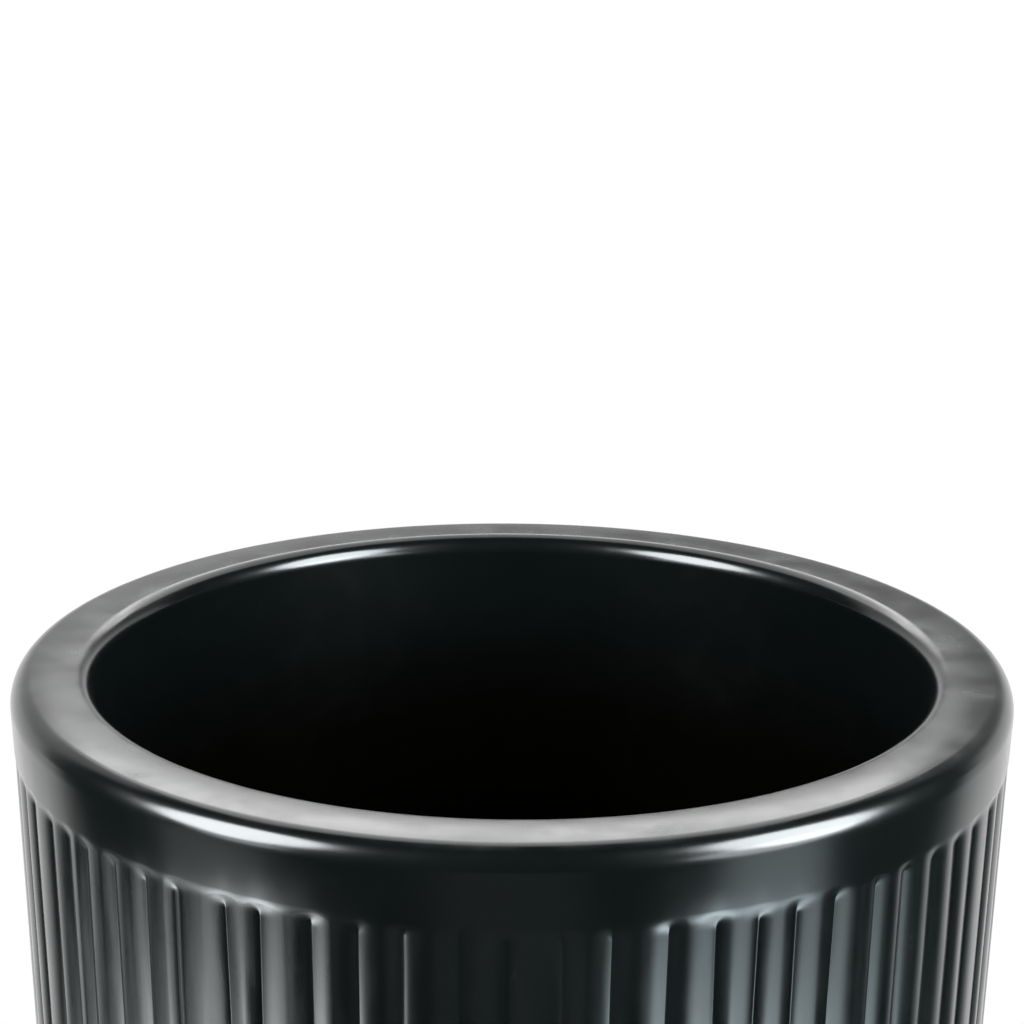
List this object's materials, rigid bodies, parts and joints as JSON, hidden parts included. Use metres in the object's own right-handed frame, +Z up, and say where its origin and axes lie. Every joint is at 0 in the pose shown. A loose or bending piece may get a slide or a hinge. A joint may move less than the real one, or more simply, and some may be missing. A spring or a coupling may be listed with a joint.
{
  "type": "empty candle jar",
  "caption": "Round, straight-sided, thick-walled open jar with a wide flat rim, a plain band and fine upright flutes, standing on stick-on foot pads.",
  "frame": {"origin": "on the jar's axis, at the level that its foot pads stand on", "axes": "+Z up, out of the mouth, along the jar's axis; -Y is the side seen from the front"},
  "size_m": [0.088, 0.088, 0.1],
  "materials": {
    "satin_glaze": "satin black glaze",
    "pad_silicone": "matt black silicone",
    "adhesive": "dull translucent adhesive film"
  },
  "bodies": {
    "root": {"jar_body": "satin_glaze", "foot_pad_1": "pad_silicone", "foot_pad_2": "pad_silicone", "foot_pad_3": "pad_silicone", "foot_pad_4": "pad_silicone", "pad_adhesive_1": "adhesive", "pad_adhesive_2": "adhesive", "pad_adhesive_3": "adhesive", "pad_adhesive_4": "adhesive"}
  },
  "joints": []
}
